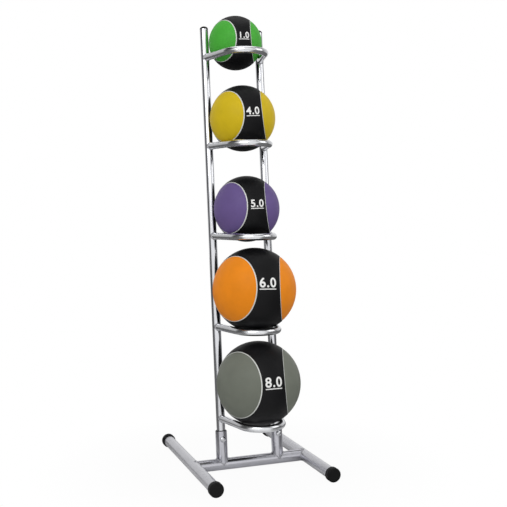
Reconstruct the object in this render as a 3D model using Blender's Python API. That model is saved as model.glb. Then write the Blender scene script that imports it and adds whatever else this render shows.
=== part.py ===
"""Medicine ball rack: a leaning five-tier rack of bent tube, with its set of five balls.

Metres, +Z up, +X to the right and -Y to the front. The origin is on the floor, under the middle
of the base. Every holder lies level, and each ball rests in its holder and against both uprights.
"""

import math

import bmesh
import bpy
from mathutils import Euler, Vector

# Clearance between pieces that touch, and between a ball and what it rests on
GAP = 0.0003
SEAT_GAP = 0.0002

# Base
FOOT_LENGTH = 0.625
FOOT_SPACING = 0.409
CROSS_SETBACK = 0.256
BASE_TUBE_RADIUS = 0.020
BASE_TUBE_WALL = 0.0018

# Rubber caps on the feet
CAP_WALL = 0.0042
CAP_LENGTH = 0.0226
CAP_END = 0.0036
CAP_FLAT = 0.0005
CAP_ROUNDING = 0.0030

# Uprights and the sockets that hold them, measured up the lean from the cross tube's axis. The
# overhang is what stands above the top holder.
LEAN = math.radians(6.4)
UPRIGHT_SPACING = 0.207
UPRIGHT_RADIUS = 0.015
UPRIGHT_WALL = 0.0015
UPRIGHT_START = 0.030
UPRIGHT_OVERHANG = 0.1025
SOCKET_RADIUS = 0.020
SOCKET_WALL = 0.002
SOCKET_END = 0.115
BUSH_LENGTH = 0.075
BUSH_LIP_HEIGHT = 0.0018
BUSH_LIP_INSET = 0.0010
PLUG_DOME = 0.011
PLUG_STEM = 0.022

# Bolt through each socket
BOLT_RADIUS = 0.004
BOLT_DROP = 0.027
BOLT_HEAD_RADIUS = 0.0105
BOLT_HEAD_HEIGHT = 0.006
WASHER_RADIUS = 0.0095
WASHER_THICKNESS = 0.0016
NUT_FLATS = 0.013
NUT_HEIGHT = 0.0065
NUT_DOME = 0.0055
NUT_CROWN = 0.0035

# Holders, measured up the lean from the cross tube's axis and forward from the uprights
HOLDER_TUBE_RADIUS = 0.012
HOLDER_WALL = 0.0015
HOLDER_ARC_RADIUS = 0.0735
HOLDER_ARC_FORWARD = 0.1225
HOLDER_FIRST = 0.1595
HOLDER_PITCH = 0.319
HOLDERS = ("bottom", "lower", "middle", "upper", "top")

# Balls, from the bottom up: radius, radius of the hollow, and tip, roll and turn in degrees
BALLS = {
    "grey": (0.1435, 0.1147, (-12.0, 0.0, 1.0)),
    "orange": (0.1435, 0.1252, (-9.5, 2.0, 0.0)),
    "purple": (0.1150, 0.0832, (-11.0, -1.5, -1.0)),
    "yellow": (0.1150, 0.0929, (-9.5, -3.0, 0.5)),
    "green": (0.0950, 0.0880, (-5.0, -2.5, 0.5)),
}
PANEL_ANGLE = math.radians(50.0)
PANEL_SWING = math.radians(66.5)
PANEL_DEPTH = 0.0028
VALVE_RADIUS = 0.005
VALVE_HEAD_RADIUS = 0.0075
VALVE_HEAD_DEPTH = 0.0020
VALVE_INSET = 0.0010
VALVE_SHORTFALL = 0.0020

# Facets, and the steps of the search for a ball's seat
TUBE_SIDES = 20
HOLDER_SIDES = 12
HOLDER_ARC_STEPS = 12
BOLT_SIDES = 12
HEX_SIDES = 6
DOME_STEPS = 4
BALL_FACET_STEPS = 4
HOLLOW_FACET_STEPS = 2
PANEL_SIDES = 20
PANEL_FACE_RINGS = 4
PANEL_BACK_RINGS = 2
SEAT_STEPS = 60
SHARP_ANGLE = math.radians(35.0)
MERGE_DISTANCE = 0.000001

# Places worked out from the sizes above
CAP_RADIUS = BASE_TUBE_RADIUS + GAP + CAP_WALL
BASE_HEIGHT = CAP_RADIUS - CAP_FLAT
CROSS_Y = CROSS_SETBACK - FOOT_LENGTH / 2
BOLT_PLACE = SOCKET_END - BOLT_DROP
HALF_SPACING = UPRIGHT_SPACING / 2
UPRIGHT_END = HOLDER_FIRST + HOLDER_PITCH * (len(HOLDERS) - 1) + UPRIGHT_OVERHANG
NUT_RADIUS = NUT_FLATS / 2 / math.cos(math.pi / HEX_SIDES)

# A cutter reaches this far past what it cuts, and the floor's is a block this wide
CUT_MARGIN = 0.01
FLOOR_BLOCK = 1.0

# Turns that point an object's own +Z to the back, the front or the right
TO_BACK = (math.radians(-90.0), 0.0, 0.0)
TO_FRONT = (math.radians(90.0), 0.0, 0.0)
TO_RIGHT = (0.0, math.radians(90.0), 0.0)
SIDES = (("left", -1), ("right", 1))

# Base colour, roughness and metallic value
FINISHES = {
    "satin_steel": ((0.52, 0.52, 0.55), 0.32, 0.9),
    "chrome": ((0.72, 0.73, 0.75), 0.12, 1.0),
    "cap_rubber": ((0.012, 0.012, 0.013), 0.6, 0.0),
    "black_plastic": ((0.015, 0.015, 0.016), 0.5, 0.0),
    "ball_rubber": ((0.010, 0.010, 0.011), 0.45, 0.0),
    "green_panel": ((0.060, 0.390, 0.045), 0.5, 0.0),
    "yellow_panel": ((0.600, 0.430, 0.020), 0.5, 0.0),
    "purple_panel": ((0.150, 0.085, 0.300), 0.5, 0.0),
    "orange_panel": ((0.760, 0.250, 0.015), 0.5, 0.0),
    "grey_panel": ((0.170, 0.175, 0.150), 0.5, 0.0),
}


def clear_scene():
    for old in list(bpy.data.objects):
        bpy.data.objects.remove(old, do_unlink=True)


def finish(name):
    """Return the Principled material of that name, made on first use."""
    if name in bpy.data.materials:
        return bpy.data.materials[name]
    colour, roughness, metallic = FINISHES[name]
    made = bpy.data.materials.new(name)
    made.use_nodes = True
    shader = made.node_tree.nodes["Principled BSDF"]
    shader.inputs["Base Color"].default_value = (*colour, 1.0)
    shader.inputs["Roughness"].default_value = roughness
    shader.inputs["Metallic"].default_value = metallic
    made.diffuse_color = (*colour, 1.0)
    return made


def empty(name, place, turn=(0.0, 0.0, 0.0)):
    """Make a frame that pieces are parented to."""
    frame = bpy.data.objects.new(name, None)
    frame.location = place
    frame.rotation_euler = Euler(turn)
    bpy.context.collection.objects.link(frame)
    return frame


def piece(name, shape, look, parent=None, place=(0.0, 0.0, 0.0), turn=(0.0, 0.0, 0.0)):
    """Turn a bmesh into a named, smooth-shaded object."""
    bmesh.ops.recalc_face_normals(shape, faces=shape.faces)
    mesh = bpy.data.meshes.new(name)
    shape.to_mesh(mesh)
    shape.free()
    mesh.shade_smooth()
    mesh.set_sharp_from_angle(angle=SHARP_ANGLE)
    mesh.materials.append(finish(look))
    made = bpy.data.objects.new(name, mesh)
    made.parent = parent
    made.location = place
    made.rotation_euler = Euler(turn)
    bpy.context.collection.objects.link(made)
    return made


def cutter(name, shape, parent=None, place=(0.0, 0.0, 0.0), turn=(0.0, 0.0, 0.0)):
    """Make a hidden body that pieces are cut by."""
    made = piece(name, shape, "black_plastic", parent, place, turn)
    made.hide_render = True
    made.display_type = "WIRE"
    return made


def cut(target, tool, operation="DIFFERENCE"):
    step = target.modifiers.new("cut_by_" + tool.name, "BOOLEAN")
    step.operation = operation
    step.solver = "EXACT"
    step.object = tool


def turned(profile, sides, closed=False):
    """Spin a profile of (radius, height) points round Z. A closed profile makes a ring."""
    shape = bmesh.new()
    points = [shape.verts.new((radius, 0.0, height)) for radius, height in profile]
    edges = [shape.edges.new(pair) for pair in zip(points, points[1:])]
    if closed:
        edges.append(shape.edges.new((points[-1], points[0])))
    bmesh.ops.spin(
        shape, geom=points + edges, cent=(0.0, 0.0, 0.0), axis=(0.0, 0.0, 1.0),
        angle=2 * math.pi, steps=sides, use_merge=True,
    )
    bmesh.ops.remove_doubles(shape, verts=shape.verts, dist=MERGE_DISTANCE)
    return shape


def rod(radius, low, high, sides=TUBE_SIDES):
    return turned([(0.0, low), (radius, low), (radius, high), (0.0, high)], sides)


def tube(outer, inner, low, high, sides=TUBE_SIDES):
    return turned([(outer, low), (outer, high), (inner, high), (inner, low)], sides, closed=True)


def dome(radius, low, height):
    """Points of a quarter ellipse from its rim to its top, for the end of a profile."""
    angles = [math.pi / 2 * step / DOME_STEPS for step in range(DOME_STEPS + 1)]
    rise = [(radius * math.cos(angle), low + height * math.sin(angle)) for angle in angles[:-1]]
    return rise + [(0.0, low + height)]


def up_the_lean(along, forward=0.0):
    """World place of a point on the lean, and that far in front of it square to the lean."""
    rise = Vector((0.0, math.sin(LEAN), math.cos(LEAN)))
    out = Vector((0.0, -math.cos(LEAN), math.sin(LEAN)))
    return Vector((0.0, CROSS_Y, BASE_HEIGHT)) + along * rise + forward * out


def holder_along(tier):
    return HOLDER_FIRST + HOLDER_PITCH * tier


def arc_start():
    """Angle, seen from above, at which the left leg runs into the front arc as a tangent."""
    to_upright = math.atan2(HOLDER_ARC_FORWARD, -HALF_SPACING)
    away = math.hypot(HALF_SPACING, HOLDER_ARC_FORWARD)
    return to_upright + math.acos(HOLDER_ARC_RADIUS / away)


def holder_path():
    """Centre line of a holder: a straight leg, the front arc and the other leg, all level."""
    start = arc_start()
    sweep = 3 * math.pi - 2 * start
    path = [Vector((-HALF_SPACING, 0.0, 0.0))]
    for step in range(HOLDER_ARC_STEPS + 1):
        angle = start + sweep * step / HOLDER_ARC_STEPS
        across = HOLDER_ARC_RADIUS * math.cos(angle)
        path.append(Vector((across, HOLDER_ARC_RADIUS * math.sin(angle) - HOLDER_ARC_FORWARD, 0.0)))
    path.append(Vector((HALF_SPACING, 0.0, 0.0)))
    return path


def ring_of_points(shape, centre, side, radius):
    """Add a circle of vertices round a level path, square to it."""
    points = []
    for step in range(HOLDER_SIDES):
        angle = 2 * math.pi * step / HOLDER_SIDES
        offset = math.cos(angle) * side + math.sin(angle) * Vector((0.0, 0.0, 1.0))
        points.append(shape.verts.new(centre + radius * offset))
    return points


def join_rings(shape, first, second):
    for step in range(len(first)):
        after = (step + 1) % len(first)
        shape.faces.new((first[step], first[after], second[after], second[step]))


def bent_tube(path, outer, inner):
    """Sweep a hollow round section along a level path."""
    shape = bmesh.new()
    runs = [(ahead - here).normalized() for here, ahead in zip(path, path[1:])]
    sections = []
    for centre, before, after in zip(path, runs[:1] + runs, runs + runs[-1:]):
        side = (before + after).normalized().cross(Vector((0.0, 0.0, 1.0)))
        sections.append([ring_of_points(shape, centre, side, radius) for radius in (outer, inner)])
    for here, ahead in zip(sections, sections[1:]):
        join_rings(shape, here[0], ahead[0])
        join_rings(shape, here[1], ahead[1])
    join_rings(shape, *sections[0])
    join_rings(shape, *sections[-1])
    return shape


def distance_to_holder(back):
    """Level distance from a point on the middle plane to a holder's centre line.

    The point lies that far behind the centre of the holder's arc. In front of it the arc's foremost
    point is nearest, and behind it the straight legs are.
    """
    if back < 0.0:
        return HOLDER_ARC_RADIUS + back
    return HOLDER_ARC_RADIUS - math.sin(arc_start()) * back


def seat(tier, radius):
    """Centre of a ball that rests against both uprights and in its holder."""
    forward = math.sqrt((radius + UPRIGHT_RADIUS + SEAT_GAP) ** 2 - HALF_SPACING ** 2)
    ring = up_the_lean(holder_along(tier))
    reach = radius + HOLDER_TUBE_RADIUS + SEAT_GAP
    low = holder_along(tier) - radius
    high = holder_along(tier) + 2 * radius
    for _ in range(SEAT_STEPS):
        middle = (low + high) / 2
        centre = up_the_lean(middle, forward)
        level = distance_to_holder(centre.y - ring.y + HOLDER_ARC_FORWARD)
        if centre.z > ring.z and math.hypot(level, centre.z - ring.z) > reach:
            high = middle
        else:
            low = middle
    return centre


def make_cutters(lean_frame):
    """Bodies that more than one piece is cut by."""
    tools = {}
    floor = bmesh.new()
    bmesh.ops.create_cube(floor, size=FLOOR_BLOCK)
    tools["floor"] = cutter("floor_cutter", floor, place=(0.0, 0.0, -FLOOR_BLOCK / 2))
    reach = FOOT_SPACING / 2
    hole_end = SOCKET_RADIUS + CUT_MARGIN
    for name, sign in SIDES:
        foot = rod(BASE_TUBE_RADIUS + GAP, -FOOT_LENGTH / 2, FOOT_LENGTH / 2)
        place = (sign * FOOT_SPACING / 2, 0.0, BASE_HEIGHT)
        tools[name + "_foot"] = cutter(name + "_foot_cutter", foot, None, place, TO_BACK)
        stem = rod(UPRIGHT_RADIUS + GAP, 0.0, UPRIGHT_END)
        place = (sign * HALF_SPACING, 0.0, 0.0)
        tools[name + "_upright"] = cutter(name + "_upright_cutter", stem, lean_frame, place)
        hole = rod(BOLT_RADIUS + GAP, -hole_end, hole_end, BOLT_SIDES)
        place = (sign * HALF_SPACING, 0.0, BOLT_PLACE)
        tools[name + "_bolt"] = cutter(name + "_bolt_cutter", hole, lean_frame, place, TO_FRONT)
    cross = rod(BASE_TUBE_RADIUS + GAP, -reach, reach)
    tools["cross"] = cutter("cross_cutter", cross, None, (0.0, CROSS_Y, BASE_HEIGHT), TO_RIGHT)
    return tools


def make_cap(name, place, turn, tools):
    bore = BASE_TUBE_RADIUS + GAP
    rounding = [(CAP_RADIUS - CAP_ROUNDING, 0.0), (CAP_RADIUS - CAP_ROUNDING * 0.3, CAP_ROUNDING * 0.3),
                (CAP_RADIUS, CAP_ROUNDING)]
    mouth = [(CAP_RADIUS, CAP_LENGTH), (bore, CAP_LENGTH), (bore, CAP_END), (0.0, CAP_END)]
    cap = piece(name, turned([(0.0, 0.0)] + rounding + mouth, TUBE_SIDES), "cap_rubber", None, place, turn)
    cut(cap, tools["floor"])


def make_base(tools):
    half_tube = FOOT_LENGTH / 2 - CAP_END - GAP
    bore = BASE_TUBE_RADIUS - BASE_TUBE_WALL
    for name, sign in SIDES:
        across = sign * FOOT_SPACING / 2
        foot = tube(BASE_TUBE_RADIUS, bore, -half_tube, half_tube)
        piece(name + "_foot_tube", foot, "satin_steel", None, (across, 0.0, BASE_HEIGHT), TO_BACK)
        front = (across, -FOOT_LENGTH / 2, BASE_HEIGHT)
        rear = (across, FOOT_LENGTH / 2, BASE_HEIGHT)
        make_cap(name + "_front_cap", front, TO_BACK, tools)
        make_cap(name + "_rear_cap", rear, TO_FRONT, tools)
    cross = tube(BASE_TUBE_RADIUS, bore, -FOOT_SPACING / 2, FOOT_SPACING / 2)
    place = (0.0, CROSS_Y, BASE_HEIGHT)
    cross_tube = piece("cross_tube", cross, "satin_steel", None, place, TO_RIGHT)
    cut(cross_tube, tools["left_foot"])
    cut(cross_tube, tools["right_foot"])


def bush_shape():
    inner = UPRIGHT_RADIUS + GAP
    outer = SOCKET_RADIUS - SOCKET_WALL - GAP
    lip = SOCKET_RADIUS - BUSH_LIP_INSET
    low = SOCKET_END - BUSH_LENGTH
    rim = SOCKET_END + GAP
    top = rim + BUSH_LIP_HEIGHT
    return turned(
        [(inner, low), (outer, low), (outer, rim), (lip, rim), (lip, top), (inner, top)],
        TUBE_SIDES, closed=True,
    )


def plug_shape():
    stem = UPRIGHT_RADIUS - UPRIGHT_WALL - GAP
    rim = UPRIGHT_END + GAP
    low = UPRIGHT_END - PLUG_STEM
    return turned([(0.0, low), (stem, low), (stem, rim)] + dome(UPRIGHT_RADIUS, rim, PLUG_DOME), TUBE_SIDES)


def make_uprights(lean_frame, tools):
    for name, sign in SIDES:
        place = (sign * HALF_SPACING, 0.0, 0.0)
        stem = tube(UPRIGHT_RADIUS, UPRIGHT_RADIUS - UPRIGHT_WALL, UPRIGHT_START, UPRIGHT_END)
        upright = piece(name + "_upright", stem, "chrome", lean_frame, place)
        cut(upright, tools[name + "_bolt"])
        collar = tube(SOCKET_RADIUS, SOCKET_RADIUS - SOCKET_WALL, 0.0, SOCKET_END)
        socket = piece(name + "_socket", collar, "satin_steel", lean_frame, place)
        cut(socket, tools["cross"])
        cut(socket, tools[name + "_bolt"])
        bush = piece(name + "_bush", bush_shape(), "black_plastic", lean_frame, place)
        cut(bush, tools[name + "_bolt"])
        piece(name + "_top_plug", plug_shape(), "black_plastic", lean_frame, place)


def make_holders(tools):
    for tier, name in enumerate(HOLDERS):
        shape = bent_tube(holder_path(), HOLDER_TUBE_RADIUS, HOLDER_TUBE_RADIUS - HOLDER_WALL)
        holder = piece(name + "_holder", shape, "chrome", None, up_the_lean(holder_along(tier)))
        cut(holder, tools["left_upright"])
        cut(holder, tools["right_upright"])


def make_bolts(lean_frame):
    """A domed bolt, a washer and a cap nut at each socket, with +Z to the front."""
    head = SOCKET_RADIUS + GAP
    washer_back = -(head + WASHER_THICKNESS)
    nut_face = washer_back - GAP
    nut_end = nut_face - NUT_HEIGHT
    blind_end = nut_end - NUT_DOME + NUT_CROWN
    shank_end = blind_end + GAP
    bore = BOLT_RADIUS + GAP
    shank = [(0.0, shank_end), (BOLT_RADIUS, shank_end), (BOLT_RADIUS, head)]
    bolt = shank + dome(BOLT_HEAD_RADIUS, head, BOLT_HEAD_HEIGHT)
    blind = [(0.0, blind_end), (bore, blind_end), (bore, nut_face), (NUT_RADIUS, nut_face)]
    crown = [(across, -along) for across, along in dome(NUT_FLATS / 2, -nut_end, NUT_DOME)]
    nut = blind + [(NUT_RADIUS, nut_end)] + crown
    for name, sign in SIDES:
        place = (sign * HALF_SPACING, 0.0, BOLT_PLACE)
        piece(name + "_bolt", turned(bolt, BOLT_SIDES), "chrome", lean_frame, place, TO_FRONT)
        ring = tube(WASHER_RADIUS, bore, washer_back, -head, BOLT_SIDES)
        piece(name + "_washer", ring, "satin_steel", lean_frame, place, TO_FRONT)
        cap_nut = piece(name + "_cap_nut", turned(nut, BOLT_SIDES), "chrome", lean_frame, place, TO_FRONT)
        hexagon = rod(NUT_RADIUS, nut_end - CUT_MARGIN, nut_face + CUT_MARGIN, HEX_SIDES)
        flats = cutter(name + "_nut_flats", hexagon, lean_frame, place, TO_FRONT)
        cut(cap_nut, flats, "INTERSECT")


def sphere(radius, subdivisions):
    shape = bmesh.new()
    bmesh.ops.create_icosphere(shape, subdivisions=subdivisions, radius=radius)
    return shape


def arc_points(radius, angle, rings):
    """Points on a sphere's section, from its pole round to an angle."""
    steps = [angle * ring / rings for ring in range(rings + 1)]
    return [(radius * math.sin(step), radius * math.cos(step)) for step in steps]


def lens(inner, outer, angle):
    """The part of a spherical shell that lies within an angle of +Z."""
    back = arc_points(inner, angle, PANEL_BACK_RINGS)
    face = arc_points(outer, angle, PANEL_FACE_RINGS)
    return turned(back + face[::-1], PANEL_SIDES)


def make_valve(colour, ball, carcass, radius, hollow):
    face = radius - VALVE_INSET
    ledge = face - VALVE_HEAD_DEPTH
    stem_end = hollow + VALVE_SHORTFALL
    stem = [(0.0, stem_end), (VALVE_RADIUS, stem_end), (VALVE_RADIUS, ledge)]
    head = [(VALVE_HEAD_RADIUS, ledge), (VALVE_HEAD_RADIUS, face), (0.0, face)]
    piece(colour + "_ball_valve", turned(stem + head, BOLT_SIDES), "ball_rubber", ball, turn=TO_BACK)
    narrow = VALVE_RADIUS + GAP
    wide = VALVE_HEAD_RADIUS + GAP
    inside = hollow - CUT_MARGIN
    outside = radius + CUT_MARGIN
    bore = [(0.0, inside), (narrow, inside), (narrow, ledge - GAP)]
    mouth = [(wide, ledge - GAP), (wide, outside), (0.0, outside)]
    hole = cutter(colour + "_valve_cutter", turned(bore + mouth, BOLT_SIDES), ball, turn=TO_BACK)
    cut(carcass, hole)


def make_ball(tier, colour):
    radius, hollow, lie = BALLS[colour]
    ball = empty(colour + "_ball_centre", seat(tier, radius), [math.radians(angle) for angle in lie])
    carcass = piece(colour + "_ball_carcass", sphere(radius, BALL_FACET_STEPS), "ball_rubber", ball)
    core = cutter(colour + "_hollow_cutter", sphere(hollow, HOLLOW_FACET_STEPS), ball)
    cut(carcass, core)
    floor = radius - PANEL_DEPTH
    for name, sign in SIDES:
        facing = Vector((sign * math.sin(PANEL_SWING), -math.cos(PANEL_SWING), 0.0))
        turn = Vector((0.0, 0.0, 1.0)).rotation_difference(facing).to_euler()
        panel = lens(floor, radius, PANEL_ANGLE)
        piece(f"{colour}_ball_{name}_panel", panel, colour + "_panel", ball, turn=turn)
        recess = lens(floor - GAP, radius + CUT_MARGIN, PANEL_ANGLE + GAP / floor)
        cut(carcass, cutter(f"{colour}_{name}_recess_cutter", recess, ball, turn=turn))
    make_valve(colour, ball, carcass, radius, hollow)


def main():
    clear_scene()
    lean_frame = empty("lean_frame", (0.0, CROSS_Y, BASE_HEIGHT), (-LEAN, 0.0, 0.0))
    tools = make_cutters(lean_frame)
    make_base(tools)
    make_uprights(lean_frame, tools)
    make_holders(tools)
    make_bolts(lean_frame)
    for tier, colour in enumerate(BALLS):
        make_ball(tier, colour)


main()
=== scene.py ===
"""Looks of the medicine ball rack: finishes, welds, ball lettering, studio and camera.

The base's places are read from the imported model, and all others are worked out from them.
Metres, +Z up, -Y to the front.
"""

import math

import bmesh
import bpy
from mathutils import Matrix, Vector


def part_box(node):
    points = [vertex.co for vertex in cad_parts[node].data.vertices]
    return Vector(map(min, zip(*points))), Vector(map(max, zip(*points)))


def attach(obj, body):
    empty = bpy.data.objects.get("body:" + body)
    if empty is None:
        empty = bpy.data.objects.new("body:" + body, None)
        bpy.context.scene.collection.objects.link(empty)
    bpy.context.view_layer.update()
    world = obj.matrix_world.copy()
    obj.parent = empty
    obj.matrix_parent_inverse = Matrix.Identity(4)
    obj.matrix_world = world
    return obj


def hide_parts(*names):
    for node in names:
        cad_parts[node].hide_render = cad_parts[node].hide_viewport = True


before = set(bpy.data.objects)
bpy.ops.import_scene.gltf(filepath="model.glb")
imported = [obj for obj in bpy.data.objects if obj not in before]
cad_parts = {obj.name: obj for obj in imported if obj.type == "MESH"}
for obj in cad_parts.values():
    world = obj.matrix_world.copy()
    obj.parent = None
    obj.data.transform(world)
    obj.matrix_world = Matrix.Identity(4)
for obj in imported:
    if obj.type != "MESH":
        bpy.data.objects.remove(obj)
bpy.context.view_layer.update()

UP = Vector((0.0, 0.0, 1.0))
ACROSS = Vector((1.0, 0.0, 0.0))
BACK = Vector((0.0, 1.0, 0.0))
SIDES = {"left": -1, "right": 1}

# Base, sockets and uprights, as their solids have them
FOOT_RADIUS = 0.020
FOOT_WALL = 0.0018
CAP_RADIUS = 0.0245
CAP_LENGTH = 0.0226
CAP_FLAT = 0.0005
LEAN = math.radians(6.4)
RISE = Vector((0.0, math.sin(LEAN), math.cos(LEAN)))
OUT = Vector((0.0, -math.cos(LEAN), math.sin(LEAN)))
HALF_SPACING = 0.1035
UPRIGHT_RADIUS = 0.015
UPRIGHT_WALL = 0.0015
UPRIGHT_START = 0.030
UPRIGHT_OVERHANG = 0.1025
SOCKET_RADIUS = 0.020
SOCKET_WALL = 0.002
SOCKET_END = 0.115
BUSH_START = 0.040
BUSH_LIP = 0.0018
BUSH_INSET = 0.0010
PLUG_DEPTH = 0.022
PLUG_DOME = 0.011

# Bolts, washers and cap nuts
BOLT_PLACE = 0.088
BOLT_RADIUS = 0.004
BOLT_REACH = 0.030
BOLT_HEAD_RADIUS = 0.0105
BOLT_HEAD_HEIGHT = 0.006
WASHER_RADIUS = 0.0095
WASHER_THICKNESS = 0.0016
NUT_FLATS = 0.013
NUT_HEIGHT = 0.0065
NUT_DOME = 0.0055
DOME_BRIM = 0.0008

# Holders
HOLDERS = ("bottom", "lower", "middle", "upper", "top")
HOLDER_RADIUS = 0.012
HOLDER_WALL = 0.0015
HOLDER_ARC_RADIUS = 0.0735
HOLDER_ARC_FORWARD = 0.1225
HOLDER_FIRST = 0.1595
HOLDER_PITCH = 0.319
UPRIGHT_END = HOLDER_FIRST + HOLDER_PITCH * (len(HOLDERS) - 1) + UPRIGHT_OVERHANG
# The arc begins where the straight arm from the left upright touches it
ARC_START = math.atan2(HOLDER_ARC_FORWARD, -HALF_SPACING) + math.acos(
    HOLDER_ARC_RADIUS / math.hypot(HALF_SPACING, HOLDER_ARC_FORWARD)
)

# Clearances of close pieces, of loose ones, of a cap on its tube and of a ball in its seat
FIT = 0.0002
LOOSE_FIT = 0.0003
CAP_FIT = 0.0001
SEAT_GAP = 0.0002

# Weld beads: radius, and how many ripples go round the seam
BASE_BEAD = (0.0019, 46)
SOCKET_BEAD = (0.0021, 44)
HOLDER_BEAD = (0.0024, 30)
BEAD_SWELL = 0.16

# Balls from the bottom up: radius, panel colour as seen, and tip, roll and turn in degrees
BALLS = {
    "grey": (0.1435, (115, 119, 109), (-12.0, 0.0, 1.0)),
    "orange": (0.1435, (238, 139, 22), (-9.5, 2.0, 0.0)),
    "purple": (0.1150, (104, 86, 140), (-11.0, -1.5, -1.0)),
    "yellow": (0.1150, (210, 181, 24), (-9.5, -3.0, 0.5)),
    "green": (0.0950, (73, 173, 58), (-5.0, -2.5, 0.5)),
}

# Panels: their half angle, how far round from the front each faces, the width of the rolled rim,
# how far the face sinks towards it, the rim's depth, how far behind that the back lies, and how far
# the edge stays inside the half angle
PANEL_ANGLE = math.radians(50.0)
PANEL_SWING = math.radians(66.5)
PANEL_ROLL = 0.0030
PANEL_SINK = 0.0006
PANEL_DEPTH = 0.0030
PANEL_BACKING = 0.0004
PANEL_INSET = 0.00066

# The recess round a panel: how much wider it is than the panel's angle, its rolled edge, its depth
GROOVE = 0.0022
GROOVE_ROLL = 0.0012
GROOVE_DEPTH = 0.0045

# The lips round the panels: how far outside the panel's edge the middle of each lies, and how far
# it bulges at the back and at the front of the ball. The left ones look wider in the photograph.
# The extra width towards the front, larger on the left panels, is a painted highlight: the pale lip
# is widened where light catches it.
LIP_SIZES_AND_HIGHLIGHT = {"left": (-0.0003, 0.0011, 0.0038), "right": (0.0008, 0.0010, 0.0019)}

# The valve hole with its rolled edge, and the plug in it
VALVE_HOLE = 0.0082
VALVE_HOLE_ROLL = 0.0008
VALVE_HOLE_DEPTH = 0.0030
VALVE_RADIUS = 0.0046
VALVE_HEAD_RADIUS = 0.0071
VALVE_RECESS = 0.0010
VALVE_SHOULDER = 0.0032
VALVE_LENGTH = 0.0060

# Printed numbers, and how far across and up from the middle of the band each lies, in degrees
NUMBERS = {
    "grey": ("8.0", (-0.5, -1.25)),
    "orange": ("6.0", (-1.75, 3.25)),
    "purple": ("5.0", (0.25, -3.0)),
    "yellow": ("4.0", (-1.25, -3.25)),
    "green": ("1.0", (-0.25, 0.5)),
}
# Height of the print as a share of the ball's radius, its thickness, how far print and lips stand
# proud, and the pitch at which print is cut so that it bends
NUMBER_HEIGHT = 0.215
INK_THICKNESS = 0.0004
PROUD = 0.0001
STRIP = 0.004
# The font's digits are taken as this share of its size, and stand this much further apart
FONT_CAPITAL = 0.7
LETTER_SPACING = 1.12
# Shares of the print's height
STROKE_GROWTH = 0.030
PRINT_DROP = 0.37
BAR_DROP = 0.26
BAR_THICKNESS = 0.09

# Camera, worked out from the photograph's straight edges and spheres
CAMERA_PLACE = Vector((-0.97345, -2.76101, 0.90785))
CAMERA_TURN = math.radians(-20.116)
CAMERA_TIP = math.radians(-3.030)
CAMERA_ROLL = math.radians(-0.397)
CAMERA_LENS = 58.73
CAMERA_SENSOR = 36.0

# The room that metal reflects. Its far wall lies this way, and each row has stops of a share of the
# way and a grey level there. The rows are the walls from the near one to the far one, where the far
# end is, how it darkens with height, and the light overhead.
TO_FAR_WALL = Vector((0.333, 0.943, 0.0))
NEAR_TO_FAR = (-1.0, 1.0)
LEVEL_TO_OVERHEAD = (0.0, 1.0)
WALLS = ((0.0, 1.0), (0.16, 1.0), (0.30, 0.10), (0.60, 0.07), (0.69, 0.50), (1.0, 0.90))
FAR_END = ((0.0, 0.0), (0.38, 0.0), (0.46, 1.0), (1.0, 1.0))
DARK_WITH_HEIGHT = ((0.0, 1.0), (0.60, 1.0), (0.72, 0.10), (1.0, 0.10))
OVERHEAD = ((0.0, 0.0), (0.82, 0.0), (0.93, 0.85), (1.0, 0.95))

# The floor in reflections: its level before the object and behind it over a distance along the
# room, how that darkens to the sides, and its level close around the object over a distance from it
FLOOR_BEFORE_RANGE = (-0.55, 0.25)
FLOOR_BEFORE = ((0.0, 0.95), (0.45, 0.75), (1.0, 0.0))
FLOOR_TO_THE_SIDES = ((0.0, 1.0), (0.08, 1.0), (0.18, 0.12), (1.0, 0.12))
FLOOR_AROUND_RANGE = (0.15, 0.75)
FLOOR_AROUND = ((0.0, 0.85), (1.0, 0.16))
# The floor as lit, and how white it is made for the camera over a distance from the object
FLOOR_GREY = 0.62
FLOOR_WHITE_RANGE = (0.35, 0.75)
FLOOR_WHITE = (0.955, 1.0)
FLOOR_HALF = 12.0
EVEN_LIGHT = 0.62
WHITE = (1.0, 1.0, 1.0, 1.0)

# Lamps: place, what each aims at, width and height, and power in watts
LAMPS = {
    "key": ((-2.2, -2.8, 3.0), (0.0, 0.0, 0.8), (2.4, 2.4), 55.0),
    "fill": ((2.6, -1.6, 2.4), (0.0, 0.0, 0.8), (2.0, 2.4), 23.0),
    "top": ((0.3, 0.6, 3.6), (0.0, 0.0, 1.0), (2.5, 2.0), 10.0),
}

# Facets of the fine surfaces
ROUND = 64
SMALL_ROUND = 40
THIN_ROUND = 10
NUT_ROUND = 72
PANEL_ROUND = 160
LIP_ROUND = 220
HOLDER_STEPS = 72
DOME_STEPS = 12
ROLL_STEPS = 6
PANEL_STEPS = 40
PANEL_BACK_STEPS = 12
SEAM_SPLIT = 3
SPHERE_SUBDIVISIONS = 7

# How often the height of a ball's seat is halved when it is looked for
SEAT_HALVINGS = 60

# Edges that turn by more than this many degrees are sharp, on most pieces, crisp ones and sweeps
CREASE = 40.0
CRISP_CREASE = 30.0
SWEEP_CREASE = 80.0


# Geometry


def object_from(name, shape, crease=CREASE):
    bmesh.ops.recalc_face_normals(shape, faces=shape.faces)
    mesh = bpy.data.meshes.new(name)
    shape.to_mesh(mesh)
    shape.free()
    mesh.shade_smooth()
    mesh.set_sharp_from_angle(angle=math.radians(crease))
    made = bpy.data.objects.new(name, mesh)
    bpy.context.scene.collection.objects.link(made)
    return made


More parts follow.
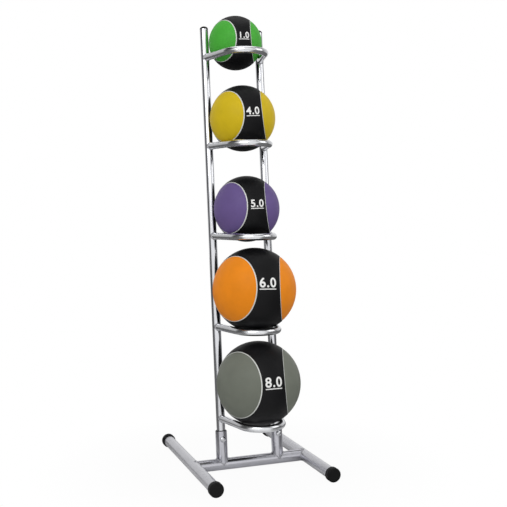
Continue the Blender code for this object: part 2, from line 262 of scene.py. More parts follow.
def loft(loops, chain_closed=False):
    """Skin closed loops of points, each with as many points as the next.

    A chain that is closed joins the last loop to the first. Loops of one point make a pole.
    """
    shape = bmesh.new()
    rows = [[shape.verts.new(point) for point in loop] for loop in loops]
    pairs = list(zip(rows, rows[1:]))
    if chain_closed:
        pairs.append((rows[-1], rows[0]))
    for here, ahead in pairs:
        count = max(len(here), len(ahead))
        for step in range(count):
            after = (step + 1) % count
            if len(here) == 1:
                shape.faces.new((here[0], ahead[after], ahead[step]))
            elif len(ahead) == 1:
                shape.faces.new((here[step], here[after], ahead[0]))
            else:
                shape.faces.new((here[step], here[after], ahead[after], ahead[step]))
    return shape


def shares(steps):
    """Even shares of a way from 0 to 1, both included."""
    return [step / steps for step in range(steps + 1)]


def around(count):
    """Even angles once round a circle."""
    return [2 * math.pi * step / count for step in range(count)]


def ring(centre, first, second, radius, count=ROUND):
    """Points of a circle in the plane of two unit vectors."""
    return [
        centre + radius * (math.cos(angle) * first + math.sin(angle) * second)
        for angle in around(count)
    ]


def square_to(direction, hint):
    """Two unit vectors square to a direction, the first as near to the hint as it can be."""
    first = (hint - hint.dot(direction) * direction).normalized()
    return first, direction.cross(first)


def turned(profile, place, axis, hint, count=ROUND):
    """Loops of a profile of (radius, along) points, spun round an axis."""
    first, second = square_to(axis, hint)
    loops = []
    for radius, along in profile:
        centre = place + along * axis
        if radius == 0.0:
            loops.append([centre])
        else:
            loops.append(ring(centre, first, second, radius, count))
    return loops


def spun(name, profile, place, axis, hint, closed=False, count=ROUND):
    """An object spun from a half section. A closed section leaves a bore."""
    return object_from(name, loft(turned(profile, place, axis, hint, count), chain_closed=closed))


def tube_wall(radius, wall, start, end):
    """Section of a plain tube's wall."""
    bore = radius - wall
    return [(radius, start), (radius, end), (bore, end), (bore, start)]


def dome(radius, rim, height):
    """Half section of a dome: a short straight brim, then a quarter of an ellipse."""
    section = []
    for share in shares(DOME_STEPS):
        angle = math.pi / 2 * share
        rise = DOME_BRIM + (height - DOME_BRIM) * math.sin(angle)
        section.append((radius * math.cos(angle), rim + rise))
    section[-1] = (0.0, rim + height)
    return section


def where_line_meets(point, direction, place, axis, radius, last):
    """How far along a line it meets a round bar, on the bar's far side if last is true.

    A line that misses the bar stops level with its axis.
    """
    across = direction - direction.dot(axis) * axis
    start = point - place
    start = start - start.dot(axis) * axis
    growth = across.length_squared
    slope = across.dot(start)
    rest = start.length_squared - radius * radius
    root = math.sqrt(max(0.0, slope * slope - growth * rest))
    return (-slope + root) / growth if last else (-slope - root) / growth


def coped_tube(name, place, axis, hint, radius, wall, start, end):
    """A tube whose ends follow what they meet, and the seams round its outside.

    start and end give how far a point's line goes.
    """
    first, second = square_to(axis, hint)
    seams = []
    for size in (radius, radius - wall):
        spots = ring(place, first, second, size)
        seams.append([spot + start(spot) * axis for spot in spots])
        seams.append([spot + end(spot) * axis for spot in spots])
    outer_start, outer_end, inner_start, inner_end = seams
    loops = [outer_start, outer_end, inner_end, inner_start]
    return object_from(name, loft(loops, chain_closed=True)), (outer_start, outer_end)


def finer(seam):
    """More points along a closed seam, each run split evenly."""
    result = []
    for here, ahead in zip(seam, seam[1:] + seam[:1]):
        result += [here.lerp(ahead, step / SEAM_SPLIT) for step in range(SEAM_SPLIT)]
    return result


def middle_point(points):
    return sum(points, Vector()) / len(points)


def off_axis(spot, place, axis):
    """Unit vector that points from an axis straight out to a spot."""
    away = spot - place
    return (away - away.dot(axis) * axis).normalized()


# Materials

# Sockets of a Mix node that blends colours, where the names are used more than once
MIX_FIRST = 6
MIX_SECOND = 7
MIX_RESULT = 2

# Stretch of the fine grain: below 1 it is drawn out that way
GRAIN_EVEN = (1.0, 1.0, 1.0)
GRAIN_ACROSS = (0.06, 1.0, 1.0)
GRAIN_BACK = (1.0, 0.06, 1.0)
GRAIN_UP = (1.0, 1.0, 0.06)


def linear(red, green, blue):
    """An 8-bit screen colour as a linear colour with alpha."""
    values = []
    for level in (red, green, blue):
        share = level / 255
        if share <= 0.04045:
            values.append(share / 12.92)
        else:
            values.append(((share + 0.055) / 1.055) ** 2.4)
    return (*values, 1.0)


def grey(level):
    return (level, level, level, 1.0)


def new_material(name):
    made = bpy.data.materials.new(name)
    made.use_nodes = True
    nodes = made.node_tree.nodes
    return made, nodes, made.node_tree.links, nodes["Principled BSDF"]


def add_node(nodes, kind, **settings):
    """A new node. A setting is the value of an input of that name, or else a property."""
    node = nodes.new(kind)
    for key, value in settings.items():
        if key in node.inputs:
            node.inputs[key].default_value = value
        else:
            setattr(node, key, value)
    return node


def map_range(nodes, links, value, ends, results=(0.0, 1.0)):
    """Map a value from one range to another and stop at its ends."""
    made = nodes.new("ShaderNodeMapRange")
    for name, number in zip(("From Min", "From Max", "To Min", "To Max"), (*ends, *results)):
        made.inputs[name].default_value = number
    links.new(value, made.inputs["Value"])
    return made.outputs["Result"]


def ramp(nodes, links, value, ends, stops):
    """Turn a value between two ends into a grey level, with (share of the way, level) stops."""
    made = nodes.new("ShaderNodeValToRGB")
    elements = made.color_ramp.elements
    for _ in stops[2:]:
        elements.new(0.5)
    for element, (place, level) in zip(elements, stops):
        element.position = place
        element.color = grey(level)
    links.new(map_range(nodes, links, value, ends), made.inputs["Fac"])
    return made.outputs["Color"]


def mixed(nodes, links, factor, first, second, blend="MIX"):
    """Blend two colours. Each input is a socket or a constant."""
    made = add_node(nodes, "ShaderNodeMix", data_type="RGBA", blend_type=blend)
    for place, value in (("Factor", factor), (MIX_FIRST, first), (MIX_SECOND, second)):
        if isinstance(value, bpy.types.NodeSocket):
            links.new(value, made.inputs[place])
        else:
            made.inputs[place].default_value = value
    return made.outputs[MIX_RESULT]


def mixed_shader(nodes, links, factor, first, second):
    made = nodes.new("ShaderNodeMixShader")
    for place, socket in enumerate((factor, first, second)):
        links.new(socket, made.inputs[place])
    return made.outputs["Shader"]


def vector_math(nodes, links, operation, value):
    made = add_node(nodes, "ShaderNodeVectorMath", operation=operation)
    links.new(value, made.inputs[0])
    return made


def noise(nodes, links, scale, detail=4.0, stretch=GRAIN_EVEN):
    """Noise in object space, where a scale is in cells a metre."""
    spot = nodes.new("ShaderNodeTexCoord")
    mapping = add_node(nodes, "ShaderNodeMapping", Scale=stretch)
    made = add_node(nodes, "ShaderNodeTexNoise", Scale=scale, Detail=detail)
    links.new(spot.outputs["Object"], mapping.inputs["Vector"])
    links.new(mapping.outputs["Vector"], made.inputs["Vector"])
    return made.outputs["Fac"]


def spread(nodes, links, value, low, high):
    """Map the middle of a noise to a range."""
    return map_range(nodes, links, value, (0.3, 0.7), (low, high))


def varied_colour(nodes, links, shader, colour, value, depth):
    """Darken and lighten a colour a little with a noise."""
    dark = [channel * (1.0 - depth) for channel in colour[:3]]
    light = [min(1.0, channel * (1.0 + depth)) for channel in colour[:3]]
    tone = mixed(nodes, links, value, (*dark, 1.0), (*light, 1.0))
    links.new(tone, shader.inputs["Base Color"])


def add_bump(nodes, links, shader, height, strength, distance):
    bump = add_node(nodes, "ShaderNodeBump", Strength=strength, Distance=distance)
    links.new(height, bump.inputs["Height"])
    links.new(bump.outputs["Normal"], shader.inputs["Normal"])


def plated_steel(name, colour, roughness, grain, stretch):
    """Bright plated tube: nearly smooth, with faint cloudy wear and hairline grain along it."""
    made, nodes, links, shader = new_material(name)
    shader.inputs["Metallic"].default_value = 1.0
    cloud = spread(nodes, links, noise(nodes, links, scale=22.0), low=0.0, high=1.0)
    varied_colour(nodes, links, shader, colour, cloud, depth=0.035)
    fine = noise(nodes, links, scale=900.0, detail=2.0, stretch=stretch)
    polish = spread(nodes, links, fine, low=roughness * 0.9, high=roughness * 1.12)
    links.new(polish, shader.inputs["Roughness"])
    add_bump(nodes, links, shader, fine, strength=grain, distance=0.0001)
    return made


def weld_metal(name, colour, roughness):
    """Laid weld metal: dull, with patchy colour and a rough skin."""
    made, nodes, links, shader = new_material(name)
    shader.inputs["Metallic"].default_value = 1.0
    varied_colour(nodes, links, shader, colour, noise(nodes, links, scale=260.0), depth=0.25)
    shader.inputs["Roughness"].default_value = roughness
    add_bump(nodes, links, shader, noise(nodes, links, scale=700.0), strength=0.4, distance=0.0002)
    return made


def pebbled_rubber(name, colour, roughness, depth):
    """Moulded rubber with a fine pebbled grip and faint mottling."""
    made, nodes, links, shader = new_material(name)
    mottle = spread(nodes, links, noise(nodes, links, scale=26.0, detail=5.0), low=0.0, high=1.0)
    varied_colour(nodes, links, shader, colour, mottle, depth)
    worn = noise(nodes, links, scale=70.0, detail=3.0)
    dull = spread(nodes, links, worn, low=roughness * 0.88, high=roughness * 1.1)
    links.new(dull, shader.inputs["Roughness"])
    spot = nodes.new("ShaderNodeTexCoord")
    cells = add_node(nodes, "ShaderNodeTexVoronoi", Scale=560.0)
    links.new(spot.outputs["Object"], cells.inputs["Vector"])
    add_bump(nodes, links, shader, cells.outputs["Distance"], strength=0.25, distance=0.0003)
    shader.inputs["Specular IOR Level"].default_value = 0.16
    return made


def smooth_plastic(name, colour, roughness, shine):
    """Smooth moulded plastic or rubber with a faint skin."""
    made, nodes, links, shader = new_material(name)
    shader.inputs["Specular IOR Level"].default_value = shine
    varied_colour(nodes, links, shader, colour, noise(nodes, links, scale=120.0), depth=0.12)
    shader.inputs["Roughness"].default_value = roughness
    skin = noise(nodes, links, scale=1400.0, detail=2.0)
    add_bump(nodes, links, shader, skin, strength=0.12, distance=0.0001)
    return made


def printed_ink(name, colour, roughness):
    made, nodes, links, shader = new_material(name)
    varied_colour(nodes, links, shader, colour, noise(nodes, links, scale=400.0), depth=0.04)
    shader.inputs["Roughness"].default_value = roughness
    return made


# Steel: colour, roughness, strength of the grain and the way it runs
UPRIGHT_CHROME = plated_steel("upright_chrome", linear(222, 223, 227), 0.13, 0.015, GRAIN_UP)
HOLDER_CHROME = plated_steel("holder_chrome", linear(230, 231, 234), 0.20, 0.015, GRAIN_EVEN)
BOLT_CHROME = plated_steel("bolt_chrome", linear(205, 206, 210), 0.22, 0.02, GRAIN_EVEN)
FOOT_SATIN = plated_steel("foot_satin", linear(205, 205, 210), 0.28, 0.004, GRAIN_BACK)
CROSS_SATIN = plated_steel("cross_satin", linear(196, 196, 203), 0.23, 0.006, GRAIN_ACROSS)
SOCKET_SATIN = plated_steel("socket_satin", linear(196, 196, 203), 0.19, 0.015, GRAIN_UP)
WELD_METAL = weld_metal("weld_metal", linear(176, 176, 180), roughness=0.42)

# Rubber, plastic and print
CAP_RUBBER = smooth_plastic("cap_rubber", linear(12, 12, 13), roughness=0.55, shine=0.18)
LINER = smooth_plastic("liner_plastic", linear(18, 18, 19), roughness=0.40, shine=0.25)
BALL_BLACK = pebbled_rubber("ball_black", linear(15, 15, 17), roughness=0.50, depth=0.10)
INK = printed_ink("number_ink", linear(240, 240, 238), roughness=0.45)
LIP = smooth_plastic("panel_lip", linear(214, 216, 212), roughness=0.30, shine=0.9)


def dress(piece, material, body, slot, *nodes):
    """Give a piece its finish and body, and hide the solids that it stands for. The slot is not
    used.
    """
    piece.data.materials.clear()
    piece.data.materials.append(material)
    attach(piece, body)
    if nodes:
        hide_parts(*nodes)


def lay_bead(name, path, outward, size, slot):
    """A weld bead: a thin closed sweep along a seam, rippled as laid metal is."""
    radius, ripples = size
    count = len(path)
    loops = []
    for step in range(count):
        ahead = (path[(step + 1) % count] - path[step - 1]).normalized()
        first, second = square_to(ahead, outward[step])
        swollen = radius * (1.0 + BEAD_SWELL * math.sin(2 * math.pi * ripples * step / count))
        loops.append(ring(path[step], first, second, swollen, THIN_ROUND))
    made = object_from(name, loft(loops, chain_closed=True), SWEEP_CREASE)
    dress(made, WELD_METAL, "rack", slot)


# Base


def middle_of(node):
    low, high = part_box(node)
    return (low + high) / 2


CROSS_MIDDLE = middle_of("cross_tube")


def make_feet():
    for name in SIDES:
        node = name + "_foot_tube"
        low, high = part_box(node)
        half = (high.y - low.y) / 2
        wall = tube_wall(FOOT_RADIUS, FOOT_WALL, -half, half)
        tube = spun(name + "_foot", wall, middle_of(node), BACK, UP, closed=True)
        dress(tube, FOOT_SATIN, "rack", "satin_steel", node)


def make_cross_tube():
    """Tube between the feet, coped to both, with a weld round each end."""
    left = middle_of("left_foot_tube")
    right = middle_of("right_foot_tube")

    def start(spot):
        return where_line_meets(spot, ACROSS, left, BACK, FOOT_RADIUS, last=True)

    def end(spot):
        return where_line_meets(spot, ACROSS, right, BACK, FOOT_RADIUS, last=False)

    tube, seams = coped_tube(
        "cross_bar", CROSS_MIDDLE, ACROSS, UP, FOOT_RADIUS, FOOT_WALL, start, end
    )
    dress(tube, CROSS_SATIN, "rack", "satin_steel", "cross_tube")
    for name, seam in zip(SIDES, seams):
        path = finer(seam)
        outward = [off_axis(spot, CROSS_MIDDLE, ACROSS) for spot in path]
        lay_bead(name + "_base_weld", path, outward, BASE_BEAD, "satin_steel")


def cap_profile():
    """Half section of a foot cap from the middle of its end to inside its mouth."""
    bore = FOOT_RADIUS + CAP_FIT
    bottom = 0.0045
    end = [(0.0, 0.0004), (0.010, 0.0002), (0.0195, 0.0)]
    corner = [(0.0214, 0.0002), (0.0229, 0.0009), (0.0239, 0.0020), (0.0243, 0.0034)]
    skirt = [(CAP_RADIUS, 0.0048), (CAP_RADIUS, 0.0180)]
    groove = [(0.0243, 0.0184), (0.0240, 0.0186), (0.0240, 0.0196), (0.0243, 0.0198)]
    collar = [(0.0244, 0.0202), (0.0244, 0.0216), (0.0240, 0.0223), (0.0232, CAP_LENGTH)]
    mouth = [(0.0212, CAP_LENGTH), (bore, 0.0224), (bore, bottom), (0.0, bottom)]
    return end + corner + skirt + groove + collar + mouth


def make_caps():
    """Rubber caps on the ends of the feet, flat where they stand on the floor."""
    for name in SIDES:
        for end, axis in (("front", BACK), ("rear", -BACK)):
            node = f"{name}_{end}_cap"
            low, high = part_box(node)
            face = low.y if end == "front" else high.y
            place = Vector(((low.x + high.x) / 2, face, low.z + CAP_RADIUS - CAP_FLAT))
            shape = loft(turned(cap_profile(), place, axis, UP))
            for spot in shape.verts:
                spot.co.z = max(spot.co.z, low.z)
            cap = object_from(f"{name}_{end}_foot_cap", shape)
            dress(cap, CAP_RUBBER, "rack", "cap_rubber", node)


# Uprights


def on_lean(sign, along):
    """A place on an upright's axis, so far up from the cross tube's middle."""
    return CROSS_MIDDLE + sign * HALF_SPACING * ACROSS + along * RISE


def make_sockets():
    """Short leaning tubes on the cross tube, each with a weld round its foot."""
    for name, sign in SIDES.items():
        base = on_lean(sign, 0.0)
        top = on_lean(sign, SOCKET_END)

        def start(spot):
            return where_line_meets(spot, RISE, CROSS_MIDDLE, ACROSS, FOOT_RADIUS, last=True)

        def end(spot):
            return (top - spot).dot(RISE)

        tube, seams = coped_tube(
            name + "_sleeve", base, RISE, OUT, SOCKET_RADIUS, SOCKET_WALL, start, end
        )
        dress(tube, SOCKET_SATIN, "rack", "satin_steel", name + "_socket")
        path = finer(seams[0])
        outward = [off_axis(spot, base, RISE) for spot in path]
        lay_bead(name + "_socket_weld", path, outward, SOCKET_BEAD, "satin_steel")


def make_bushes():
    """Plastic liners between sockets and uprights, whose lips show at the sockets' tops."""
    inner = UPRIGHT_RADIUS + FIT
    outer = SOCKET_RADIUS - SOCKET_WALL - FIT
    lip = SOCKET_RADIUS - BUSH_INSET
    rim = SOCKET_END + FIT
    top = rim + BUSH_LIP
    outer_edge = 0.0007
    inner_edge = 0.0006
    profile = [
        (inner, BUSH_START), (outer, BUSH_START), (outer, rim), (lip, rim), (lip, top - outer_edge),
        (lip - outer_edge, top), (inner + inner_edge, top), (inner, top - inner_edge),
    ]
    for name, sign in SIDES.items():
        bush = spun(name + "_liner", profile, on_lean(sign, 0.0), RISE, OUT, closed=True)
        dress(bush, LINER, "rack", "black_plastic", name + "_bush")


def plug_profile():
    """Half section of an upright's plug from the middle of its stem to the top of its dome."""
    stem = UPRIGHT_RADIUS - UPRIGHT_WALL - LOOSE_FIT
    foot = UPRIGHT_END - PLUG_DEPTH
    rim = UPRIGHT_END + LOOSE_FIT
    edge_width = 0.0005
    edge_height = 0.0004
    profile = [(0.0, foot), (stem, foot), (stem, rim)]
    profile += [(UPRIGHT_RADIUS - edge_width, rim), (UPRIGHT_RADIUS, rim + edge_height)]
    return profile + dome(UPRIGHT_RADIUS, rim, PLUG_DOME)


def make_stems():
    """Upright tubes and the domed plugs in their tops."""
    wall = tube_wall(UPRIGHT_RADIUS, UPRIGHT_WALL, UPRIGHT_START, UPRIGHT_END)
    for name, sign in SIDES.items():
        base = on_lean(sign, 0.0)
        tube = spun(name + "_stem", wall, base, RISE, OUT, closed=True)
        dress(tube, UPRIGHT_CHROME, "rack", "chrome", name + "_upright")
        plug = spun(name + "_plug", plug_profile(), base, RISE, OUT)
        dress(plug, LINER, "rack", "black_plastic", name + "_top_plug")


def bolt_profile(face):
    """Half section of a bolt from the middle of its end to the top of its domed head."""
    edge = 0.0004
    profile = [(0.0, -BOLT_REACH), (BOLT_RADIUS, -BOLT_REACH), (BOLT_RADIUS, face)]
    profile += [(BOLT_HEAD_RADIUS - edge, face), (BOLT_HEAD_RADIUS, face + edge)]
    return profile + dome(BOLT_HEAD_RADIUS, face, BOLT_HEAD_HEIGHT)[1:]


def washer_profile(face):
    """Section of a flat washer behind a face, with its edges broken."""
    back = face - WASHER_THICKNESS
    bore = BOLT_RADIUS + LOOSE_FIT
    edge = 0.0003
    return [
        (bore, face), (WASHER_RADIUS - edge, face), (WASHER_RADIUS, face - edge),
        (WASHER_RADIUS, back + edge), (WASHER_RADIUS - edge, back), (bore, back),
    ]


def hexagon(centre, axis, hint, limit):
    """Outline of a nut, its corners cut back to a round limit as a turned chamfer does."""
    first, second = square_to(axis, hint)
    sixth = math.pi / 3
    spots = []
    for angle in around(NUT_ROUND):
        from_flat = (angle + sixth / 2) % sixth - sixth / 2
        size = min(NUT_FLATS / 2 / math.cos(from_flat), limit)
        spots.append(centre + size * (math.cos(angle) * first + math.sin(angle) * second))
    return spots


def cap_nut_loops(place, axis, hint, face):
    """Sections of a cap nut from its face to the top of its dome, along -axis."""
    corner = NUT_FLATS / 2 / math.cos(math.pi / 6)
    bevel = 0.0006
    cut = corner - 2 * bevel
    end = face - NUT_HEIGHT
    loops = [[place + face * axis]]
    for along, limit in ((face, cut), (face - bevel, corner), (end + bevel, corner), (end, cut)):
        loops.append(hexagon(place + along * axis, axis, hint, limit))
    root = NUT_FLATS / 2 - 0.0004
    for share in shares(DOME_STEPS)[:-1]:
        angle = math.pi / 2 * share
        spot = (root * math.cos(angle), end - NUT_DOME * math.sin(angle))
        loops += turned([spot], place, axis, hint, NUT_ROUND)
    loops.append([place + (end - NUT_DOME) * axis])
    return loops


def make_bolts():
    """Domed bolts through the sockets, with washers and cap nuts behind."""
    face = SOCKET_RADIUS + FIT
    back = -(SOCKET_RADIUS + LOOSE_FIT)
    nut_face = back - WASHER_THICKNESS - LOOSE_FIT
    for name, sign in SIDES.items():
        place = on_lean(sign, BOLT_PLACE)
        bolt = spun(name + "_dome_bolt", bolt_profile(face), place, OUT, RISE, count=SMALL_ROUND)
        dress(bolt, BOLT_CHROME, "rack", "chrome", name + "_bolt")
        washer = spun(name + "_flat_washer", washer_profile(back), place, OUT, RISE, closed=True)
        dress(washer, SOCKET_SATIN, "rack", "satin_steel", name + "_washer")
        loops = cap_nut_loops(place, OUT, RISE, nut_face)
        nut = object_from(name + "_domed_nut", loft(loops), CRISP_CREASE)
        dress(nut, BOLT_CHROME, "rack", "chrome", name + "_cap_nut")


# Holders


def holder_place(tier):
    """The middle between both uprights' axes at a holder's height."""
    return CROSS_MIDDLE + (HOLDER_FIRST + HOLDER_PITCH * tier) * RISE


def coped_end(place, sign, section):
    """A holder's section carried on straight until it meets an upright."""
    foot = place + sign * HALF_SPACING * ACROSS
    along = (foot - middle_point(section)).normalized()
    ends = []
    for spot in section:
        reach = where_line_meets(spot, along, foot, RISE, UPRIGHT_RADIUS, last=False)
        ends.append(spot + reach * along)
    return ends


def holder_loops(place, radius):
    """Sections of a holder from the left upright round to the right one, coped at both ends."""
    sweep = 3 * math.pi - 2 * ARC_START
    loops = []
    for step in range(HOLDER_STEPS + 1):
        angle = ARC_START + sweep * step / HOLDER_STEPS
        out = Vector((math.cos(angle), math.sin(angle), 0.0))
        centre = place - HOLDER_ARC_FORWARD * BACK + HOLDER_ARC_RADIUS * out
        loops.append(ring(centre, out, UP, radius, SMALL_ROUND))
    return [coped_end(place, -1, loops[0]), *loops, coped_end(place, 1, loops[-1])]


def make_holders():
    """Bent tubes, each with a weld where it meets either upright."""
    for tier, name in enumerate(HOLDERS):
        place = holder_place(tier)
        outer = holder_loops(place, HOLDER_RADIUS)
        inner = holder_loops(place, HOLDER_RADIUS - HOLDER_WALL)
        hoop = object_from(name + "_hoop", loft(outer + inner[::-1], chain_closed=True))
        dress(hoop, HOLDER_CHROME, "rack", "chrome", name + "_holder")
        for side, seam in zip(SIDES, (outer[0], outer[-1])):
            path = finer(seam)
            centre = middle_point(path)
            outward = [(spot - centre).normalized() for spot in path]
            lay_bead(f"{name}_{side}_weld", path, outward, HOLDER_BEAD, "chrome")


# Balls


def seat(tier, radius):
    """Centre of a ball that rests against both uprights and in its holder, found by halving."""
    forward = math.sqrt((radius + UPRIGHT_RADIUS + SEAT_GAP) ** 2 - HALF_SPACING ** 2)
    hoop = holder_place(tier)
    reach = radius + HOLDER_RADIUS + SEAT_GAP
    low = -radius
    high = 2 * radius
    for _ in range(SEAT_HALVINGS):
        middle = (low + high) / 2
        centre = hoop + middle * RISE + forward * OUT
        back = centre.y - hoop.y + HOLDER_ARC_FORWARD
        level = HOLDER_ARC_RADIUS + back
        if back >= 0.0:
            level = HOLDER_ARC_RADIUS - math.sin(ARC_START) * back
        if centre.z > hoop.z and math.hypot(level, centre.z - hoop.z) > reach:
            high = middle
        else:
            low = middle
    return centre


def ball_turn(lie):
    """How a ball lies, from its tip, roll and turn in degrees."""
    tip, roll, turn = (math.radians(angle) for angle in lie)
    return (
        Matrix.Rotation(turn, 3, "Z") @ Matrix.Rotation(roll, 3, "Y") @ Matrix.Rotation(tip, 3, "X")
    )


def panel_facing(sign):
    return Vector((sign * math.sin(PANEL_SWING), -math.cos(PANEL_SWING), 0.0))


def rolled_edge(radius, width, depth):
    """(angle inwards, depth) steps of a quarter-round edge and the straight wall below it."""
    steps = []
    for share in shares(ROLL_STEPS)[1:]:
        angle = math.pi / 2 * share
        steps.append((width * math.sin(angle) / radius, width * (1 - math.cos(angle))))
    steps.append((width / radius, depth))
    return steps


def ball_holes(radius):
    """Facing direction, angle and edge of both panels' recesses and of the valve hole."""
    edge = rolled_edge(radius, GROOVE_ROLL, GROOVE_DEPTH)
    holes = [
        (panel_facing(sign), PANEL_ANGLE + GROOVE / radius, edge) for sign in SIDES.values()
    ]
    valve_edge = rolled_edge(radius, VALVE_HOLE_ROLL, VALVE_HOLE_DEPTH)
    holes.append((BACK, VALVE_HOLE / radius, valve_edge))
    return holes


def make_shell_shape(radius):
    """A fine sphere with round holes whose edges roll inwards."""
    # Once its faces are gone, a hole's ragged rim lies within this angle of where it belongs
    near = 0.05
    shape = bmesh.new()
    bmesh.ops.create_icosphere(shape, subdivisions=SPHERE_SUBDIVISIONS, radius=radius)
    for facing, angle, edge_steps in ball_holes(radius):
        inside = [
            face for face in shape.faces
            if face.calc_center_median().normalized().angle(facing) < angle
        ]
        bmesh.ops.delete(shape, geom=inside, context="FACES")
        rim = [
            edge for edge in shape.edges
            if edge.is_boundary and edge.verts[0].co.normalized().angle(facing) < angle + near
        ]
        for step, (inward, depth) in enumerate([(0.0, 0.0)] + edge_steps):
            if step:
                grown = bmesh.ops.extrude_edge_only(shape, edges=rim)["geom"]
                rim = [item for item in grown if isinstance(item, bmesh.types.BMEdge)]
            away = angle - inward
            size = radius - depth
            for spot in {spot for edge in rim for spot in edge.verts}:
                sideways = (spot.co - spot.co.dot(facing) * facing).normalized()
                spot.co = size * (math.cos(away) * facing + math.sin(away) * sideways)
    return shape


def make_panel_shape(radius, facing):
    """A domed panel whose rim rolls down into the recess, closed behind."""
    edge = PANEL_ANGLE - PANEL_INSET / radius
    roll_start = edge - PANEL_ROLL / radius
    behind = radius - PANEL_DEPTH - PANEL_BACKING
    spots = []
    for share in shares(PANEL_STEPS):
        spots.append((roll_start * share, radius - PANEL_SINK * share ** 4))
    for share in shares(ROLL_STEPS)[1:]:
        turn = math.pi / 2 * share
        drop = (PANEL_DEPTH - PANEL_SINK) * (1 - math.cos(turn))
        angle = roll_start + PANEL_ROLL * math.sin(turn) / radius
        spots.append((angle, radius - PANEL_SINK - drop))
    for share in reversed(shares(PANEL_BACK_STEPS)):
        spots.append((edge * share, behind))
    profile = [(size * math.sin(angle), size * math.cos(angle)) for angle, size in spots]
    return loft(turned(profile, Vector(), facing, UP, PANEL_ROUND))


def make_lip_shape(radius, facing, side):
    """A moulded lip in the groove round a panel, flush on top. It is thickest beside the ball's
    front, and that extra width is a painted highlight.
    """
    outside, thin, thick = LIP_SIZES_AND_HIGHLIGHT[side]
    angle = PANEL_ANGLE + outside / radius
    first, second = square_to(facing, UP)
    loops = []
    for place in around(LIP_ROUND):
        sideways = math.cos(place) * first + math.sin(place) * second
        # Wider towards the ball's front: the real lip plus a painted highlight in its pale colour.
        bulge = thin + (thick - thin) * max(0.0, -sideways.y)
        size = radius + PROUD - bulge
        centre = size * (math.cos(angle) * facing + math.sin(angle) * sideways)
        out = centre.normalized()
        flat = (sideways - sideways.dot(out) * out).normalized()
        loops.append(ring(centre, out, flat, bulge, THIN_ROUND))
    return loft(loops, chain_closed=True)


def make_valve_shape(radius):
    """A rubber plug with a wide head and a dimple in its face."""
    face = radius - VALVE_RECESS
    shoulder = radius - VALVE_SHOULDER
    end = radius - VALVE_LENGTH
    edge = 0.0004
    stem = [(0.0, end), (VALVE_RADIUS, end), (VALVE_RADIUS, shoulder)]
    head = [
        (VALVE_HEAD_RADIUS, shoulder), (VALVE_HEAD_RADIUS, face - edge),
        (VALVE_HEAD_RADIUS - edge, face),
    ]
    dimple = [
        (0.0030, face), (0.0022, face - 0.0004), (0.0012, face - 0.0016), (0.0, face - 0.0018),
    ]
    return loft(turned(stem + head + dimple, Vector(), BACK, UP, SMALL_ROUND))


def flat_text(words, height):
    """Outline text as a flat mesh, centred, with a bar below it."""
    curve = bpy.data.curves.new("words", "FONT")
    curve.body = words
    curve.size = height / FONT_CAPITAL
    curve.align_x = "CENTER"
    curve.offset = height * STROKE_GROWTH
    curve.space_character = LETTER_SPACING
    writing = bpy.data.objects.new("words", curve)
    bpy.context.scene.collection.objects.link(writing)
    bpy.context.view_layer.update()
    mesh = bpy.data.meshes.new_from_object(writing)
    bpy.data.objects.remove(writing)
    shape = bmesh.new()
    shape.from_mesh(mesh)
    bpy.data.meshes.remove(mesh)
    half = max(abs(spot.co.x) for spot in shape.verts)
    low = -BAR_DROP * height
    high = low + BAR_THICKNESS * height
    bar = [(-half, low), (half, low), (half, high), (-half, high)]
    shape.faces.new([shape.verts.new((across, up, 0.0)) for across, up in bar])
    bmesh.ops.translate(shape, vec=(0.0, -PRINT_DROP * height, 0.0), verts=shape.verts)
    return shape


def cut_in_strips(shape, reach):
    """Cut a flat mesh along a square grid, so that it can bend round a ball."""
    count = int(reach / STRIP)
    for axis in (ACROSS, BACK):
        for step in range(-count, count + 1):
            everything = shape.verts[:] + shape.edges[:] + shape.faces[:]
            spot = axis * (step * STRIP)
            bmesh.ops.bisect_plane(shape, geom=everything, plane_co=spot, plane_no=axis)


def make_number(colour, radius, centre, turn):
    """The printed number, bent round the ball's band."""
    words, shift = NUMBERS[colour]
    height = NUMBER_HEIGHT * radius
    shape = flat_text(words, height)
    cut_in_strips(shape, reach=2.0 * height)
    size = radius + PROUD
    for spot in shape.verts:
        across = spot.co.x / radius + math.radians(shift[0])
        up = spot.co.y / radius + math.radians(shift[1])
        level = math.cos(up)
        bent = Vector((math.sin(across) * level, -math.cos(across) * level, math.sin(up)))
        spot.co = centre + turn @ (size * bent)
    bmesh.ops.solidify(shape, geom=shape.faces[:], thickness=-INK_THICKNESS)
    return object_from(colour + "_ball_number", shape, CRISP_CREASE)


def make_ball(tier, colour):
    """A ball in its holder: shell, panels with their lips, valve plug and number."""
    radius, seen, lie = BALLS[colour]
    centre = seat(tier, radius)
    turn = ball_turn(lie)
    body = colour + "_ball"

    def placed(name, shape, crease=CREASE):
        pose = Matrix.Translation(centre) @ turn.to_4x4()
        bmesh.ops.transform(shape, matrix=pose, verts=shape.verts)
        return object_from(f"{body}_{name}", shape, crease)

    shell = placed("shell", make_shell_shape(radius))
    dress(shell, BALL_BLACK, body, "ball_rubber", body + "_carcass")
    rubber = pebbled_rubber(colour + "_rubber", linear(*seen), roughness=0.52, depth=0.045)
    for side, sign in SIDES.items():
        facing = panel_facing(sign)
        panel = placed(side + "_grip", make_panel_shape(radius, facing))
        dress(panel, rubber, body, colour + "_panel", f"{body}_{side}_panel")
        lip = placed(side + "_lip", make_lip_shape(radius, facing, side), SWEEP_CREASE)
        dress(lip, LIP, body, "ball_rubber")
    plug = placed("plug", make_valve_shape(radius))
    dress(plug, BALL_BLACK, body, "ball_rubber", body + "_valve")
    dress(make_number(colour, radius, centre, turn), INK, body, "ball_rubber")


# Studio and camera


